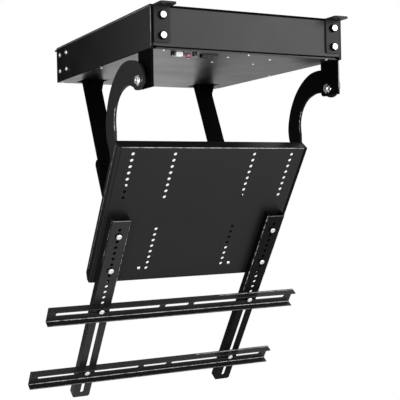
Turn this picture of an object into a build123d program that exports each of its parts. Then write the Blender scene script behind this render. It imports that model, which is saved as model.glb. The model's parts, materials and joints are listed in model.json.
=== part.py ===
from build123d import *
import math
import os

# Motorized ceiling mount for a television. Millimetres and degrees.
# X runs along the front edge, Y runs from the front to the back and Z is up.
# The origin is the centre of the four ceiling screws, on the ceiling plane.

os.makedirs("parts", exist_ok=True)

# Housing
housing_width = 455
housing_depth = 580
fascia_height = 81
cover_drop = 6
sheet = 2
cover_sheet = 1.5
flange = 12
lip_width = 5.5
flange_reach = 214

# Screws of the sides and of the cover
side_screw_rows = (216, 265)
side_screw_radius = 2.5
cover_screw_radius = 2
cover_screw_head = 3.2

# Ceiling brackets and their bolts
bracket_width = 35
bracket_sheet = 4
bracket_leg = 74.5
bracket_tab = 38
bracket_x = 203.5
ceiling_hole_radius = 4.5
ceiling_hole_inset = 20
leg_bolt_heights = (-21, -61)
leg_bolt_radius = 4
bolt_play = 0.2
angle_sheet = 3
angle_reach = 188
angle_front = 203

# Pivot of the television frame
pivot_y = -248
pivot_z = -145
pivot_bracket_x = 220
pivot_bracket_sheet = 5
pivot_bracket_front = -285.5
pivot_bracket_back = -222
pivot_bracket_bottom = -161
pivot_bracket_foot = 26
pivot_bracket_corner = 8
pivot_bolt_radius = 6
pivot_nut_height = 5
spacer_radius = 10
running_gap = 0.05
moving_gap = 0.3

# Television frame: a folded tray carried by two gooseneck arms
tray_tilt = 33.76
tray_width = 463
tray_height = 366
tray_depth = 26.4
tray_sheet = 2.5
tray_corner = 3.5
tray_top_y = -138
tray_top_z = -271.65
arm_sheet = 5.5
hole_columns = (100, 200)
hole_radius = 4.1
hole_pitch = 16
hole_count = 8
upper_holes_v = 17.7
lower_holes_v = 217.7
tray_screw_u = 120
tray_screw_v = 328
tray_screw_radius = 2.5

# Television brackets and cross rails
tv_bracket_u = 200
tv_bracket_width = 44
tv_bracket_face = 21
tv_bracket_sheet = 3
tv_bracket_top = 177
tv_bracket_bottom = 712
tv_bracket_chamfer = 4
tv_bracket_holes_v = 201.7
tv_bracket_hole_count = 14
tv_bracket_slot = (465, 698)
tv_bolts_v = (217.7, 313.7)
slot_width = 8.5
rail_height = 42
rail_length = 656
rail_sheet = 2.5
rail_depth = 18
rail_places = {"upper": (432.5, -3), "lower": (627.5, -16)}
rail_long_slot = 262
rail_short_slot = 64
rail_bridge = 13.5

# Folding stays behind the tray
stay_x = 156
stay_width = 46
stay_sheet = 8
stay_lean = 26
stay_offset = 24
stay_turn = 64
upper_stay_length = 235
knee_radius = 11
link_sheet = 4
link_radius = 12
link_web_length = 120
link_web_sheet = 3
shaft_y = 215.75
shaft_z = -78
shaft_radius = 5
clevis_v = 276.7
clevis_n = -22
clevis_sheet = 4
clevis_inner = 109
clevis_outer = 192
clevis_span = (210, 340)
clevis_wall = 3
clevis_wall_span = (216, 284)
ear_sheet = 5
ear_gap = 1.2
ear_radius = 10
stay_pin_radius = 5
shaft_boss_radius = 11
shaft_length = 400
hanger_sheet = 5
hanger_clearance = 2
hanger_half_top = 30
hanger_half_foot = 12
hanger_drop = 7

# Windows in the cover for the stays
window_width = 62
window_front = 192
window_back = 266

# Screw drive inside the housing
drive_height = 45
crank_x = 22
crank_sheet = 6
crank_half_width = 10
screw_radius = 7
journal_radius = 6
screw_front = 110
screw_back = 270
bearing_sheet = 8
rod_radius = 5
rod_x = 45
bearing_half_top = 60
bearing_half_foot = 50
bearing_drop = 14
trunnion_radius = 4
slot_play = 1.5
motor_radius = 26
motor_length = 90
gearbox_radius = 28
gearbox_length = 46
gearbox_collar = 12
mount_width = 70
mount_sheet = 4
coupling_radius = 11
coupling_length = 28
carriage_length = 46
carriage_front = 32
nut_radius = 12
nut_flange_radius = 15
rod_sleeve_radius = 9
rod_sleeve_length = 20

# Sockets on the underside: X and Y of each centre
inlet_place = (-78.5, -250)
signal_place = (-151.5, -259.5)
sensor_place = (-118, -264)
button_place = (-122, -242)
button_radius = 4.5
inlet_size = (37, 14)
signal_size = (13, 11)
sensor_radius = 5
socket_play = 0.2
socket_top = -73
inlet_drop = 3
plug_drop = 7.5
button_drop = 8

# Boxes inside the housing: X and Y of each centre
control_place = (-117.5, -231)
control_size = (135, 82)
control_height = 45
supply_place = (25.5, -202)
supply_size = (84, 80)
supply_foot = (119, 88)
supply_foot_sheet = 3
supply_height = 41
switch_x = 66
switch_size = (8, 20)
switch_height = 28

# Positions worked out from the dimensions above
half_width = housing_width / 2
half_depth = housing_depth / 2
wall_inner = half_width - sheet
cover_under = -fascia_height - cover_drop
cover_over = cover_under + cover_sheet
front_inner = -half_depth + sheet
cover_front = front_inner + 2
rear_inner = half_depth - sheet
arm_inner = tray_width / 2
arm_outer = arm_inner + arm_sheet
pivot_bracket_outer = pivot_bracket_x + pivot_bracket_sheet
ceiling_hole_y = half_depth + ceiling_hole_inset
drive_z = shaft_z + drive_height
half_swing = math.radians(stay_turn / 2)
pin_y = shaft_y - drive_height * math.tan(half_swing)
pin_reach = drive_height / math.cos(half_swing)
travel = 2 * drive_height * math.tan(half_swing)
tilt = math.radians(tray_tilt)
lean = math.radians(stay_lean)
foot_y = shaft_y + stay_offset * math.cos(lean)
foot_z = shaft_z - stay_offset * math.sin(lean)
stay_inner = stay_x - stay_width / 2
stay_outer = stay_x + stay_width / 2

# Working planes: the tray's face, with its own Y up the tray, and the upper stays,
# with their own Y down the stay from the point nearest the shaft
tray_plane = Plane(
    origin=(0, tray_top_y, tray_top_z),
    x_dir=(1, 0, 0),
    z_dir=(0, -math.cos(tilt), -math.sin(tilt)),
)
stay_plane = Plane(
    origin=(0, foot_y, foot_z),
    x_dir=(1, 0, 0),
    z_dir=(0, math.cos(lean), -math.sin(lean)),
)


# Y and Z of the point v down the tray from its top edge and n in front of its face
def tray_point(v, n):
    y = tray_top_y + v * math.sin(tilt) - n * math.cos(tilt)
    z = tray_top_z - v * math.cos(tilt) - n * math.sin(tilt)
    return (y, z)


# A plane at u across the tray, v down it and n in front of its face, looking out of the face
def tray_place(u, v, n):
    return Plane(origin=(u, *tray_point(v, n)), x_dir=(1, 0, 0), z_dir=tray_plane.z_dir)


# Y and Z of the point at a distance s down the upper stay
def stay_point(s):
    return (foot_y - s * math.sin(lean), foot_z - s * math.cos(lean))


clevis_point = tray_point(clevis_v, clevis_n)
knee_point = stay_point(upper_stay_length)
link_length = math.dist(clevis_point, knee_point)
link_angle = math.atan2(knee_point[1] - clevis_point[1], knee_point[0] - clevis_point[0])


# Y and Z of the point s along the lower stay from its clevis and t to its front side
def link_point(s, t):
    y = clevis_point[0] + s * math.cos(link_angle) - t * math.sin(link_angle)
    z = clevis_point[1] + s * math.sin(link_angle) + t * math.cos(link_angle)
    return (y, z)


def save(piece, label):
    piece.part.label = label
    export_step(piece.part, f"parts/{label}.step")


# Pieces are drawn on the right-hand side, and the left-hand ones are their mirror images
def save_pair(piece, label):
    save(piece, f"{label}_right")
    with BuildPart() as other:
        add(mirror(piece.part, about=Plane.YZ, mode=Mode.PRIVATE))
    save(other, f"{label}_left")


# Bolts with a low tapered head. Each place is a plane under the head, looking outwards,
# and grip is the thickness between the head and the nut, where there is a nut.
def save_bolts(label, places, shank_radius, shank_length, head_radius, head_height, grip=0, nut_height=0):
    with BuildPart() as bolts:
        for place in places:
            with BuildSketch(place):
                Circle(head_radius)
            extrude(amount=head_height, taper=20)
            with BuildSketch(place):
                Circle(shank_radius)
            extrude(amount=-shank_length)
            if grip:
                with BuildSketch(place.offset(-grip)):
                    RegularPolygon(1.85 * shank_radius, 6)
                    Circle(shank_radius + running_gap, mode=Mode.SUBTRACT)
                extrude(amount=-(nut_height or 1.4 * shank_radius))
    save(bolts, label)


# Top pan, against the ceiling
with BuildPart() as top_pan:
    with BuildSketch(Plane.XY):
        Rectangle(housing_width, housing_depth)
    extrude(amount=-sheet)
save(top_pan, "top_pan")

# Side plates: a wall with a lip round the front corner and a flange along each long edge
flange_front = pivot_bracket_back + 4
with BuildPart() as side_plate:
    with BuildSketch(Plane.XY.offset(cover_under)):
        with BuildLine():
            Polyline(
                (half_width - lip_width, -half_depth),
                (half_width, -half_depth),
                (half_width, half_depth),
                (wall_inner, half_depth),
                (wall_inner, front_inner),
                (half_width - lip_width, front_inner),
                close=True,
            )
        make_face()
    extrude(amount=-cover_under - sheet)
    for level in (cover_over, -2 * sheet):
        with BuildSketch(Plane.XY.offset(level)):
            with Locations((wall_inner - flange / 2, (flange_front + rear_inner) / 2)):
                Rectangle(flange, rear_inner - flange_front)
        extrude(amount=sheet)
    with Locations(Plane.YZ.offset(half_width)):
        with Locations([(y, z) for y in side_screw_rows for z in leg_bolt_heights]):
            Hole(side_screw_radius + bolt_play, depth=sheet)
save_pair(side_plate, "side_plate")

# Front fascia, set between the lips, with a flange along its lower edge
with BuildPart() as fascia:
    with BuildSketch(Plane.XZ.offset(half_depth)):
        with Locations((0, -(fascia_height + sheet) / 2)):
            Rectangle(housing_width - 2 * lip_width, fascia_height - sheet)
    extrude(amount=-sheet)
    with BuildSketch(Plane.XY.offset(-fascia_height)):
        with Locations((0, front_inner + flange / 2)):
            Rectangle(2 * flange_reach, flange)
    extrude(amount=sheet)
    with Locations(Plane.XZ.offset(half_depth)):
        with Locations([(x, z) for x in (-bracket_x, bracket_x) for z in leg_bolt_heights]):
            Hole(leg_bolt_radius + bolt_play, depth=sheet)
save(fascia, "front_fascia")

with BuildPart() as rear_panel:
    with BuildSketch(Plane.XZ.offset(-half_depth)):
        with Locations((0, (cover_under - sheet) / 2)):
            Rectangle(2 * wall_inner, -cover_under - sheet)
    extrude(amount=sheet)
    with Locations(Plane.XZ.offset(-half_depth)):
        with Locations([(x, z) for x in (-bracket_x, bracket_x) for z in leg_bolt_heights]):
            Hole(leg_bolt_radius + bolt_play, depth=3 * sheet)
save(rear_panel, "rear_panel")

# Bottom cover: a lift-off sheet with a lip behind the fascia, a window for each stay,
# a slot for each pivot bracket and the cut-outs of the sockets
cover_screw_spots = [(x, front_inner + 8) for x in (-195, 0, 195)]
cover_screw_spots += [(x, y) for x in (-26, 77) for y in (-238, -166)]
cover_screw_spots += [(x, y) for x in (-219.5, 219.5) for y in (-2, 270)]
with BuildPart() as cover:
    with BuildSketch(Plane.XY.offset(cover_under)):
        with Locations((0, (cover_front + rear_inner) / 2)):
            Rectangle(2 * wall_inner, rear_inner - cover_front)
        with Locations((-stay_x, (window_front + window_back) / 2), (stay_x, (window_front + window_back) / 2)):
            RectangleRounded(window_width, window_back - window_front, 4, mode=Mode.SUBTRACT)
        slot_back = pivot_bracket_back + 1
        for side in (-1, 1):
            with Locations((side * (pivot_bracket_x + pivot_bracket_sheet / 2), (cover_front + slot_back) / 2)):
                Rectangle(pivot_bracket_sheet + 2, slot_back - cover_front, mode=Mode.SUBTRACT)
        with Locations(inlet_place):
            Rectangle(inlet_size[0] + 2 * socket_play, inlet_size[1] + 2 * socket_play, mode=Mode.SUBTRACT)
        with Locations(signal_place):
            Rectangle(signal_size[0] + 2 * socket_play, signal_size[1] + 2 * socket_play, mode=Mode.SUBTRACT)
        with Locations(sensor_place):
            Circle(sensor_radius + socket_play, mode=Mode.SUBTRACT)
        with Locations(button_place):
            Circle(button_radius + moving_gap, mode=Mode.SUBTRACT)
        with Locations(cover_screw_spots):
            Circle(cover_screw_radius + running_gap, mode=Mode.SUBTRACT)
    extrude(amount=cover_sheet)
    with BuildSketch(Plane.XY.offset(cover_over)):
        with Locations((0, cover_front + cover_sheet / 2)):
            Rectangle(2 * flange_reach, cover_sheet)
    extrude(amount=-fascia_height - cover_over)
save(cover, "bottom_cover")

# Angles that join the side plates to the rear panel
with BuildPart() as corner_angles:
    for side in (-1, 1):
        with BuildSketch(Plane.XY.offset(cover_over + sheet + 0.5)):
            with BuildLine():
                Polyline(
                    (side * wall_inner, angle_front),
                    (side * wall_inner, rear_inner),
                    (side * angle_reach, rear_inner),
                    (side * angle_reach, rear_inner - angle_sheet),
                    (side * (wall_inner - angle_sheet), rear_inner - angle_sheet),
                    (side * (wall_inner - angle_sheet), angle_front),
                    close=True,
                )
            make_face()
        extrude(amount=-cover_over - 3 * sheet - 1)
        with Locations(Plane.XZ.offset(-rear_inner)):
            with Locations([(side * bracket_x, z) for z in leg_bolt_heights]):
                Hole(leg_bolt_radius + bolt_play, depth=6)
save(corner_angles, "corner_angles")

# Ceiling brackets: an angle with a rounded tab that is screwed to the ceiling
with BuildPart() as bracket:
    with BuildSketch(Plane.YZ.offset(bracket_x - bracket_width / 2)):
        with BuildLine():
            Polyline(
                (-half_depth, 0),
                (-half_depth, -bracket_leg),
                (-half_depth - bracket_sheet, -bracket_leg),
                (-half_depth - bracket_sheet, -bracket_sheet),
                (-half_depth - bracket_tab, -bracket_sheet),
                (-half_depth - bracket_tab, 0),
                close=True,
            )
        make_face()
    extrude(amount=bracket_width)
    fillet(bracket.edges().filter_by(Axis.Z).group_by(Axis.Y)[0], 6)
    fillet(bracket.edges().filter_by(Axis.Y).group_by(Axis.Z)[0], 3)
    with Locations((bracket_x, -ceiling_hole_y, 0)):
        Hole(ceiling_hole_radius, depth=bracket_sheet)
    with Locations(Plane.XZ.offset(half_depth + bracket_sheet)):
        with Locations([(bracket_x, z) for z in leg_bolt_heights]):
            Hole(leg_bolt_radius + bolt_play, depth=bracket_sheet)
save_pair(bracket, "ceiling_bracket_front")
with BuildPart() as rear_bracket:
    add(mirror(bracket.part, about=Plane.XZ, mode=Mode.PRIVATE))
save_pair(rear_bracket, "ceiling_bracket_rear")

# Bolts of the ceiling brackets, the side screws and the cover screws
bolt_columns = [(x, z) for x in (-bracket_x, bracket_x) for z in leg_bolt_heights]
front_places = [Plane(origin=(x, -half_depth - bracket_sheet, z), z_dir=(0, -1, 0)) for x, z in bolt_columns]
rear_places = [Plane(origin=(x, half_depth + bracket_sheet, z), z_dir=(0, 1, 0)) for x, z in bolt_columns]
leg_grip = bracket_sheet + sheet
save_bolts("bracket_bolts_front", front_places, leg_bolt_radius, 15, 6.5, 4.5, leg_grip)
save_bolts("bracket_bolts_rear", rear_places, leg_bolt_radius, 18, 6.5, 4.5, leg_grip + angle_sheet)
side_places = [
    Plane(origin=(side * half_width, y, z), z_dir=(side, 0, 0))
    for side in (-1, 1)
    for y in side_screw_rows
    for z in leg_bolt_heights
]
save_bolts("side_screws", side_places, side_screw_radius, sheet - 0.1, 5.5, 2.5)
cover_places = [Plane(origin=(x, y, cover_under), z_dir=(0, 0, -1)) for x, y in cover_screw_spots]
save_bolts("cover_screws", cover_places, cover_screw_radius, cover_sheet, cover_screw_head, 1.5)

# Pivot brackets: a plate that hangs through the cover, with a foot under the top pan
pivot_bracket_middle = (pivot_bracket_front + pivot_bracket_back) / 2
with BuildPart() as pivot_bracket:
    with BuildSketch(Plane.YZ.offset(pivot_bracket_x)) as web:
        with Locations((pivot_bracket_middle, (pivot_bracket_bottom - sheet) / 2)):
            Rectangle(pivot_bracket_back - pivot_bracket_front, -pivot_bracket_bottom - sheet)
        fillet(web.vertices().group_by(Axis.Y)[0].sort_by(Axis.Z)[0], pivot_bracket_corner)
        fillet(web.vertices().group_by(Axis.Y)[-1].sort_by(Axis.Z)[0], pivot_bracket_corner)
    extrude(amount=pivot_bracket_sheet)
    with BuildSketch(Plane.XY.offset(-sheet)):
        with Locations((pivot_bracket_x - pivot_bracket_foot / 2, pivot_bracket_middle)):
            Rectangle(pivot_bracket_foot, pivot_bracket_back - pivot_bracket_front)
    extrude(amount=-pivot_bracket_sheet)
    with Locations(Plane.YZ.offset(pivot_bracket_outer)):
        with Locations((pivot_y, pivot_z)):
            Hole(pivot_bolt_radius + bolt_play, depth=pivot_bracket_sheet)
save_pair(pivot_bracket, "pivot_bracket")

pivot_places = [
    Plane(origin=(side * (arm_outer + moving_gap), pivot_y, pivot_z), z_dir=(side, 0, 0)) for side in (-1, 1)
]
pivot_grip = arm_outer + moving_gap - pivot_bracket_x
pivot_shank = pivot_grip + pivot_nut_height + 1.5
save_bolts("pivot_bolts", pivot_places, pivot_bolt_radius, pivot_shank, 9, 5.5, pivot_grip, pivot_nut_height)
with BuildPart() as spacers:
    for side in (-1, 1):
        with BuildSketch(Plane(origin=(side * pivot_bracket_outer, pivot_y, pivot_z), z_dir=(side, 0, 0))):
            Circle(spacer_radius)
            Circle(pivot_bolt_radius + running_gap, mode=Mode.SUBTRACT)
        extrude(amount=arm_inner - pivot_bracket_outer - moving_gap)
save(spacers, "pivot_spacers")

# Hangers: a pair of ears under the top pan on each side of a window, with the bearings of the stay shaft
hanger_inner = stay_x - window_width / 2 - hanger_clearance - hanger_sheet
hanger_outer = stay_x + window_width / 2 + hanger_clearance
with BuildPart() as hangers:
    for x in (hanger_inner, hanger_outer):
        for start in (x, -x - hanger_sheet):
            with BuildSketch(Plane.YZ.offset(start)):
                with BuildLine():
                    Polyline(
                        (shaft_y - hanger_half_top, -sheet),
                        (shaft_y + hanger_half_top, -sheet),
                        (shaft_y + hanger_half_foot, shaft_z - hanger_drop),
                        (shaft_y - hanger_half_foot, shaft_z - hanger_drop),
                        close=True,
                    )
                make_face()
                with Locations((shaft_y, shaft_z)):
                    Circle(shaft_radius + running_gap, mode=Mode.SUBTRACT)
            extrude(amount=hanger_sheet)
save(hangers, "shaft_hangers")

# Bearing blocks of the lead screw, and the guide rods between them
for name, block_y in (("front", screw_front), ("rear", screw_back)):
    with BuildPart() as bearing:
        with BuildSketch(Plane.XZ.offset(-block_y)):
            with BuildLine():
                Polyline(
                    (-bearing_half_top, -sheet),
                    (bearing_half_top, -sheet),
                    (bearing_half_top, drive_z - 6),
                    (bearing_half_foot, drive_z - bearing_drop),
                    (-bearing_half_foot, drive_z - bearing_drop),
                    (-bearing_half_top, drive_z - 6),
                    close=True,
                )
            make_face()
            with Locations((0, drive_z)):
                Circle(journal_radius + running_gap, mode=Mode.SUBTRACT)
            with Locations((-rod_x, drive_z), (rod_x, drive_z)):
                Circle(rod_radius + running_gap, mode=Mode.SUBTRACT)
        extrude(amount=-bearing_sheet)
    save(bearing, f"screw_bearing_{name}")
with BuildPart() as rods:
    with BuildSketch(Plane.XZ.offset(-screw_front)):
        with Locations((-rod_x, drive_z), (rod_x, drive_z)):
            Circle(rod_radius)
    extrude(amount=-(screw_back + bearing_sheet - screw_front))
save(rods, "guide_rods")

# Lead screw, its coupling and the gear motor that turns it
journal_start = screw_front - 18
coupling_start = journal_start - 16
gearbox_face = coupling_start - 8
with BuildPart() as lead_screw:
    with BuildSketch(Plane.XZ.offset(-journal_start)):
        with Locations((0, drive_z)):
            Circle(journal_radius)
    extrude(amount=-(screw_back + bearing_sheet + 4 - journal_start))
    with BuildSketch(Plane.XZ.offset(-screw_front - bearing_sheet - 1)):
        with Locations((0, drive_z)):
            Circle(screw_radius)
    extrude(amount=-(screw_back - screw_front - bearing_sheet - 2))
save(lead_screw, "lead_screw")
with BuildPart() as coupling:
    with BuildSketch(Plane.XZ.offset(-coupling_start)):
        with Locations((0, drive_z)):
            Circle(coupling_radius)
    extrude(amount=-coupling_length)
    with BuildSketch(Plane.XZ.offset(-journal_start)):
        with Locations((0, drive_z)):
            Circle(journal_radius)
    extrude(amount=-12, mode=Mode.SUBTRACT)
    with BuildSketch(Plane.XZ.offset(-coupling_start)):
        with Locations((0, drive_z)):
            Circle(shaft_radius)
    extrude(amount=-16, mode=Mode.SUBTRACT)
save(coupling, "shaft_coupling")
with BuildPart() as output_shaft:
    with BuildSketch(Plane.XZ.offset(-gearbox_face + 24)):
        with Locations((0, drive_z)):
            Circle(shaft_radius)
    extrude(amount=-(journal_start - gearbox_face + 24))
save(output_shaft, "output_shaft")
with BuildPart() as gearbox:
    with BuildSketch(Plane.XZ.offset(-gearbox_face + mount_sheet + gearbox_length)):
        with Locations((0, drive_z)):
            Circle(gearbox_radius)
    extrude(amount=-gearbox_length)
    with BuildSketch(Plane.XZ.offset(-gearbox_face + mount_sheet)):
        with Locations((0, drive_z)):
            Circle(gearbox_collar)
    extrude(amount=-mount_sheet - 1)
    with BuildSketch(Plane.XZ.offset(-gearbox_face + 25)):
        with Locations((0, drive_z)):
            Circle(shaft_radius + running_gap)
    extrude(amount=-30, mode=Mode.SUBTRACT)
save(gearbox, "gearbox")
motor_end = gearbox_face - mount_sheet - gearbox_length - motor_length
with BuildPart() as motor:
    with BuildSketch(Plane.XZ.offset(-motor_end)):
        with Locations((0, drive_z)):
            Circle(motor_radius)
    extrude(amount=-motor_length)
    fillet(motor.edges().group_by(Axis.Y)[0], 4)
    with BuildSketch(Plane.XZ.offset(-motor_end)):
        with Locations((0, drive_z)):
            Circle(9)
    extrude(amount=6)
save(motor, "drive_motor")
with BuildPart() as motor_mount:
    with BuildSketch(Plane.XZ.offset(-gearbox_face + mount_sheet)):
        with Locations((0, (drive_z - 30 - sheet) / 2)):
            Rectangle(mount_width, -drive_z + 30 - sheet)
        with Locations((0, drive_z)):
            Circle(gearbox_collar + running_gap, mode=Mode.SUBTRACT)
    extrude(amount=-mount_sheet)
    with BuildSketch(Plane.XY.offset(-sheet)):
        with Locations((0, gearbox_face + 12)):
            Rectangle(mount_width, 24)
    extrude(amount=-3)
save(motor_mount, "motor_mount")

# Carriage: a block round the nut, with a crossbar that slides on the guide rods
with BuildPart() as carriage:
    with BuildSketch(Plane.XZ.offset(-pin_y + carriage_front)):
        with Locations((0, drive_z)):
            Rectangle(32, 30)
    extrude(amount=-carriage_length)
    with BuildSketch(Plane.XZ.offset(-pin_y + carriage_front)):
        with Locations((0, drive_z)):
            Rectangle(2 * rod_x, 16)
    extrude(amount=-12)
    with BuildSketch(Plane.XZ.offset(-pin_y + 36)):
        with Locations((-rod_x, drive_z), (rod_x, drive_z)):
            Circle(rod_sleeve_radius)
    extrude(amount=-rod_sleeve_length)
    with BuildSketch(Plane.XZ.offset(-pin_y + 36)):
        with Locations((-rod_x, drive_z), (rod_x, drive_z)):
            Circle(rod_radius + running_gap)
    extrude(amount=-rod_sleeve_length, mode=Mode.SUBTRACT)
    with BuildSketch(Plane.XZ.offset(-pin_y + carriage_front)):
        with Locations((0, drive_z)):
            Circle(nut_radius)
    extrude(amount=-carriage_length, mode=Mode.SUBTRACT)
save(carriage, "drive_carriage")
with BuildPart() as drive_nut:
    with BuildSketch(Plane.XZ.offset(-pin_y + carriage_front + 6)):
        with Locations((0, drive_z)):
            Circle(nut_flange_radius)
            Circle(screw_radius + running_gap, mode=Mode.SUBTRACT)
    extrude(amount=-6)
    with BuildSketch(Plane.XZ.offset(-pin_y + carriage_front)):
        with Locations((0, drive_z)):
            Circle(nut_radius)
            Circle(screw_radius + running_gap, mode=Mode.SUBTRACT)
    extrude(amount=-carriage_length - 2)
save(drive_nut, "drive_nut")
with BuildPart() as trunnions:
    for side in (-1, 1):
        with BuildSketch(Plane(origin=(side * 16, pin_y, drive_z), z_dir=(side, 0, 0))):
            Circle(trunnion_radius)
        extrude(amount=crank_x + crank_sheet / 2 + 3 - 16)
save(trunnions, "trunnion_pins")

# Cross shaft of the stays, with the two slotted cranks that the trunnion pins push
with BuildPart() as stay_shaft:
    with BuildSketch(Plane.YZ.offset(-shaft_length / 2)):
        with Locations((shaft_y, shaft_z)):
            Circle(shaft_radius)
    extrude(amount=shaft_length)
save(stay_shaft, "stay_shaft")


# Y and Z of the point at a distance d up a crank from the shaft
def crank_point(d):
    return (shaft_y - d * math.sin(half_swing), shaft_z + d * math.cos(half_swing))


crank_angle = 90 + stay_turn / 2
slot_near = drive_height - slot_play
slot_far = pin_reach + slot_play
with BuildPart() as cranks:
    for x in (-crank_x, crank_x):
        with BuildSketch(Plane.YZ.offset(x - crank_sheet / 2)):
            with Locations(crank_point(0)):
                Circle(7.2)
            with Locations(crank_point(slot_near), crank_point(slot_far)):
                Circle(crank_half_width)
            make_hull()
            with Locations(crank_point(0)):
                Circle(shaft_radius, mode=Mode.SUBTRACT)
            with Locations(Location(crank_point((slot_near + slot_far) / 2) + (0,), (0, 0, crank_angle))):
                SlotCenterToCenter(
                    slot_far - slot_near, 2 * (trunnion_radius + slot_play), mode=Mode.SUBTRACT
                )
        extrude(amount=crank_sheet)
save(cranks, "crank_arms")

# Upper stays: a flat bar with a cheek at each edge that carries it off the shaft,
# and an open boss at the knee
with BuildPart() as upper_stay:
    with BuildSketch(stay_plane):
        with Locations((stay_x, (upper_stay_length - 10) / 2)):
            Rectangle(stay_width, upper_stay_length + 10)
    extrude(amount=stay_sheet / 2, both=True)
    for x in (stay_inner, stay_outer - link_sheet):
        with BuildSketch(Plane.YZ.offset(x)):
            with Locations((shaft_y, shaft_z)):
                Circle(shaft_boss_radius)
            with Locations(stay_point(-6), stay_point(24)):
                Circle(stay_sheet / 2)
            make_hull()
        extrude(amount=link_sheet)
    with BuildSketch(Plane.YZ.offset(stay_inner)):
        with Locations((shaft_y, shaft_z)):
            Circle(shaft_radius)
    extrude(amount=stay_width, mode=Mode.SUBTRACT)
    with BuildSketch(Plane.YZ.offset(stay_inner)):
        with Locations(knee_point):
            Circle(knee_radius)
    extrude(amount=stay_width)
    with BuildSketch(Plane.YZ.offset(stay_inner)):
        with Locations(knee_point):
            Circle(stay_pin_radius + 1)
    extrude(amount=stay_width, mode=Mode.SUBTRACT)
save_pair(upper_stay, "upper_stay")

# Lower stays: two side bars with a short web at the clevis end, open behind
# so that the upper stay folds in between the bars
link_inner = stay_inner - moving_gap - link_sheet
link_outer = stay_outer + moving_gap + link_sheet
web_front = link_radius - 0.5
with BuildPart() as lower_stay:
    for x in (link_inner, link_outer - link_sheet):
        with BuildSketch(Plane.YZ.offset(x)):
            with Locations(clevis_point, knee_point):
                Circle(link_radius)
            make_hull()
            with Locations(clevis_point, knee_point):
                Circle(stay_pin_radius + running_gap, mode=Mode.SUBTRACT)
        extrude(amount=link_sheet)
    with BuildSketch(Plane.YZ.offset(link_inner)):
        with BuildLine():
            Polyline(
                link_point(0, web_front - link_web_sheet),
                link_point(0, web_front),
                link_point(link_web_length, web_front),
                link_point(link_web_length, web_front - link_web_sheet),
                close=True,
            )
        make_face()
    extrude(amount=link_outer - link_inner)
save_pair(lower_stay, "lower_stay")

# Knee bolts: their low heads lie outside the side bars
for label, side in (("left", -1), ("right", 1)):
    knee_places = [
        Plane(origin=(side * link_inner, *knee_point), z_dir=(-side, 0, 0)),
        Plane(origin=(side * link_outer, *knee_point), z_dir=(side, 0, 0)),
    ]
    save_bolts(f"knee_bolts_{label}", knee_places, stay_pin_radius, link_sheet, 8, 2)

# Tray that carries the television: a folded sheet, open behind, with its columns of holes
with BuildPart() as tray:
    with BuildSketch(tray_plane):
        with Locations((0, -tray_height / 2)):
            Rectangle(tray_width, tray_height)
    extrude(amount=-tray_depth)
    outwards = Axis((0, 0, 0), tray_plane.z_dir)
    fillet(tray.faces().sort_by(outwards)[-1].edges(), tray_corner)
    offset(amount=-tray_sheet, openings=tray.faces().sort_by(outwards)[0])
    with BuildSketch(tray_plane):
        for start in (upper_holes_v, lower_holes_v):
            with Locations(
                [(s * u, -start - hole_pitch * k) for s in (-1, 1) for u in hole_columns for k in range(hole_count)]
            ):
                Circle(hole_radius)
        with Locations((-tray_screw_u, -tray_screw_v), (tray_screw_u, -tray_screw_v)):
            Circle(tray_screw_radius + running_gap)
    extrude(amount=-tray_sheet, mode=Mode.SUBTRACT)
save(tray, "tv_tray")

# Gooseneck arms: from the pivot up and over to the rear, then down the side of the tray
with BuildPart() as arm:
    with BuildSketch(Plane.YZ.offset(arm_inner)):
        with BuildLine():
            head_front = (-271, -140)
            head_top = (-240, -107)
            shoulder = (-160, -103)
            back = (-66.5, -215)
            neck = (-79, -268)
            leg_edge = [tray_point(48, -28), tray_point(352, -25.5), tray_point(363, -12), tray_point(363, 0)]
            flange_edge = [tray_point(0, 0), tray_point(0, -tray_depth)]
            inner_neck = (-116, -236)
            inner_top = (-165, -153.5)
            throat = (-222, -156)
            lobe_front = (-262, -157)
            ThreePointArc(head_front, (-263, -120), head_top)
            ThreePointArc(head_top, (-197, -98.5), shoulder)
            ThreePointArc(shoulder, (-104, -139), back)
            ThreePointArc(back, (-67, -240), neck)
            Polyline(neck, *leg_edge, *flange_edge, inner_neck)
            ThreePointArc(inner_neck, (-128, -177), inner_top)
            ThreePointArc(inner_top, (-195, -149.5), throat)
            ThreePointArc(throat, (-243, -164), lobe_front)
            ThreePointArc(lobe_front, (-269, -150), head_front)
        make_face()
        with Locations((pivot_y, pivot_z)):
            Circle(pivot_bolt_radius + running_gap, mode=Mode.SUBTRACT)
    extrude(amount=arm_sheet)
save_pair(arm, "gooseneck_arm")

# Clevises on the back of the tray: a base with a wall along its inner edge,
# and an ear outside each side bar of a lower stay
ear_inner = link_inner - ear_gap - ear_sheet
ear_outer = link_outer + ear_gap
with BuildPart() as clevis:
    with BuildSketch(tray_plane.offset(-tray_sheet)):
        with Locations(((clevis_inner + clevis_outer) / 2, -sum(clevis_span) / 2)):
            RectangleRounded(clevis_outer - clevis_inner, clevis_span[1] - clevis_span[0], 5)
        with Locations((tray_screw_u, -tray_screw_v)):
            Circle(tray_screw_radius + running_gap, mode=Mode.SUBTRACT)
    extrude(amount=-clevis_sheet)
    with BuildSketch(tray_plane.offset(-tray_sheet)):
        with Locations((clevis_inner + clevis_wall / 2, -sum(clevis_wall_span) / 2)):
            Rectangle(clevis_wall, clevis_wall_span[1] - clevis_wall_span[0])
    extrude(amount=clevis_n + tray_sheet - 2)
    for x in (ear_inner, ear_outer):
        with BuildSketch(Plane.YZ.offset(x)):
            with Locations(tray_point(254, -tray_sheet - 2), tray_point(300, -tray_sheet - 2)):
                Circle(2)
            with Locations(clevis_point):
                Circle(ear_radius)
            make_hull()
            with Locations(clevis_point):
                Circle(stay_pin_radius, mode=Mode.SUBTRACT)
        extrude(amount=ear_sheet)
save_pair(clevis, "stay_clevis")
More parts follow.
